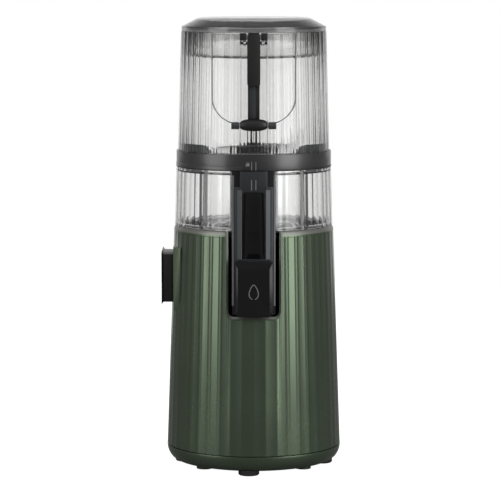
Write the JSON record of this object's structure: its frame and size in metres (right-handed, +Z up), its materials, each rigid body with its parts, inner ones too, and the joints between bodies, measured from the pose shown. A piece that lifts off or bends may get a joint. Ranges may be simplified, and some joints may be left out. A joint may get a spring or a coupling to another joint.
{
  "type": "cold press juicer",
  "caption": "Tall upright slow juicer: fluted casing with drive inside, lift-off chamber with auger and strainer, clear hopper with hinged feed door and smoky lid.",
  "frame": {"origin": "on the drive axis, at the plane that the feet stand on", "axes": "+Z up along the drive axis, -Y towards the juice lever, -X towards the pulp outlet"},
  "size_m": [0.1814, 0.194, 0.454],
  "materials": {
    "green_shell": "satin dark green",
    "black_gloss": "gloss black",
    "black_plastic": "fine grained black",
    "dark_satin": "satin dark grey",
    "grey_satin": "satin mid grey",
    "clear_plastic": "clear",
    "smoke_plastic": "smoky clear",
    "rubber": "matte",
    "silicone": "soft satin",
    "steel": "machined",
    "mesh_steel": "etched",
    "alloy": "die cast",
    "bronze": "sintered",
    "copper": "enamelled wire",
    "laminated_steel": "varnished",
    "white_nylon": "natural",
    "fibre_board": "lacquered"
  },
  "bodies": {
    "base": {"body_shell": "green_shell", "base_tray": "green_shell", "rubber_feet": "rubber", "casing_screws": "steel", "chamber_well": "black_plastic", "shaft_seal": "rubber", "gearbox_housing": "alloy", "gearbox_cover": "alloy", "gearbox_screws": "steel", "output_bush": "bronze", "cluster_axle": "steel", "motor_mounts": "rubber", "motor_bells": "alloy", "stator_stack": "laminated_steel", "stator_coils": "copper", "motor_bolts": "steel", "motor_bearings": "steel", "control_board": "fibre_board", "switch_body": "black_plastic", "dial_bezel": "black_gloss", "cord_inlet": "black_plastic"},
    "drive": {"output_shaft": "steel", "output_gear": "white_nylon"},
    "cluster": {"cluster_gear": "white_nylon"},
    "rotor": {"motor_shaft": "steel", "motor_pinion": "bronze", "rotor_core": "laminated_steel", "cooling_fan": "white_nylon"},
    "dial": {"dial_knob": "dark_satin", "dial_spindle": "steel"},
    "chamber": {"chamber_bowl": "clear_plastic", "chamber_ledge": "clear_plastic", "chamber_drum": "clear_plastic", "front_frame": "black_plastic", "front_column": "dark_satin", "column_panel": "black_gloss", "juice_tube": "black_plastic", "lever_pin": "steel", "strainer_frame": "dark_satin", "strainer_mesh": "mesh_steel"},
    "juice_lever": {"juice_lever": "black_gloss", "lever_seal": "silicone"},
    "pulp_outlet": {"pulp_outlet": "black_plastic", "pulp_seal": "silicone"},
    "auger": {"auger": "dark_satin", "auger_bush": "steel", "cutting_wing": "smoke_plastic"},
    "hopper": {"hopper_shell": "clear_plastic", "collar_ring": "grey_satin", "hopper_seal": "silicone", "feed_guides": "dark_satin", "hinge_pin": "steel"},
    "feed_door": {"feed_door": "clear_plastic", "door_barrel": "black_plastic", "latch_housing": "clear_plastic", "latch_spring": "steel"},
    "latch": {"latch_handle": "black_plastic"},
    "lid": {"lid_dome": "smoke_plastic", "lid_rim": "dark_satin", "lid_dish": "clear_plastic"}
  },
  "joints": [
    {"name": "drive_spin", "type": "hinge", "parent": "base", "child": "drive", "pos_m": [0, 0, 0.12], "axis": [0, 0, 1], "continuous": true},
    {"name": "cluster_spin", "type": "hinge", "parent": "base", "child": "cluster", "pos_m": [0, 0.036, 0.11], "axis": [0, 0, 1], "continuous": true},
    {"name": "rotor_spin", "type": "hinge", "parent": "base", "child": "rotor", "pos_m": [0, 0, 0.06], "axis": [0, 0, 1], "continuous": true},
    {"name": "dial_turn", "type": "hinge", "parent": "base", "child": "dial", "pos_m": [0, 0.09, 0.074], "axis": [0, 1, 0], "range_deg": [-45, 45]},
    {"name": "chamber_lift", "type": "slide", "parent": "base", "child": "chamber", "axis": [0, 0, 1], "range_m": [0, 0.1]},
    {"name": "pulp_outlet_pull", "type": "slide", "parent": "base", "child": "pulp_outlet", "axis": [-1, 0, 0], "range_m": [0, 0.03]},
    {"name": "auger_spin", "type": "hinge", "parent": "chamber", "child": "auger", "pos_m": [0, 0, 0.2], "axis": [0, 0, 1], "continuous": true},
    {"name": "juice_lever_flip", "type": "hinge", "parent": "chamber", "child": "juice_lever", "pos_m": [0, -0.0908, 0.2115], "axis": [-1, 0, 0], "range_deg": [0, 80]},
    {"name": "hopper_twist", "type": "hinge", "parent": "chamber", "child": "hopper", "pos_m": [0, 0, 0.312], "axis": [0, 0, 1], "range_deg": [0, 20]},
    {"name": "feed_door_swing", "type": "hinge", "parent": "hopper", "child": "feed_door", "pos_m": [0, -0.0819, 0.3495], "axis": [1, 0, 0], "range_deg": [0, 60]},
    {"name": "latch_press", "type": "hinge", "parent": "feed_door", "child": "latch", "pos_m": [0, -0.0786, 0.43], "axis": [-1, 0, 0], "range_deg": [0, 12], "stiffness_Nm_per_rad": 0.3, "springref_deg": -5.73},
    {"name": "lid_lift", "type": "slide", "parent": "hopper", "child": "lid", "axis": [0, 0, 1], "range_m": [0, 0.06]}
  ],
  "couplings": [
    {"joint": "cluster_spin", "follows": "drive_spin", "ratio": -4},
    {"joint": "rotor_spin", "follows": "drive_spin", "ratio": 20},
    {"joint": "auger_spin", "follows": "drive_spin", "ratio": 1}
  ]
}
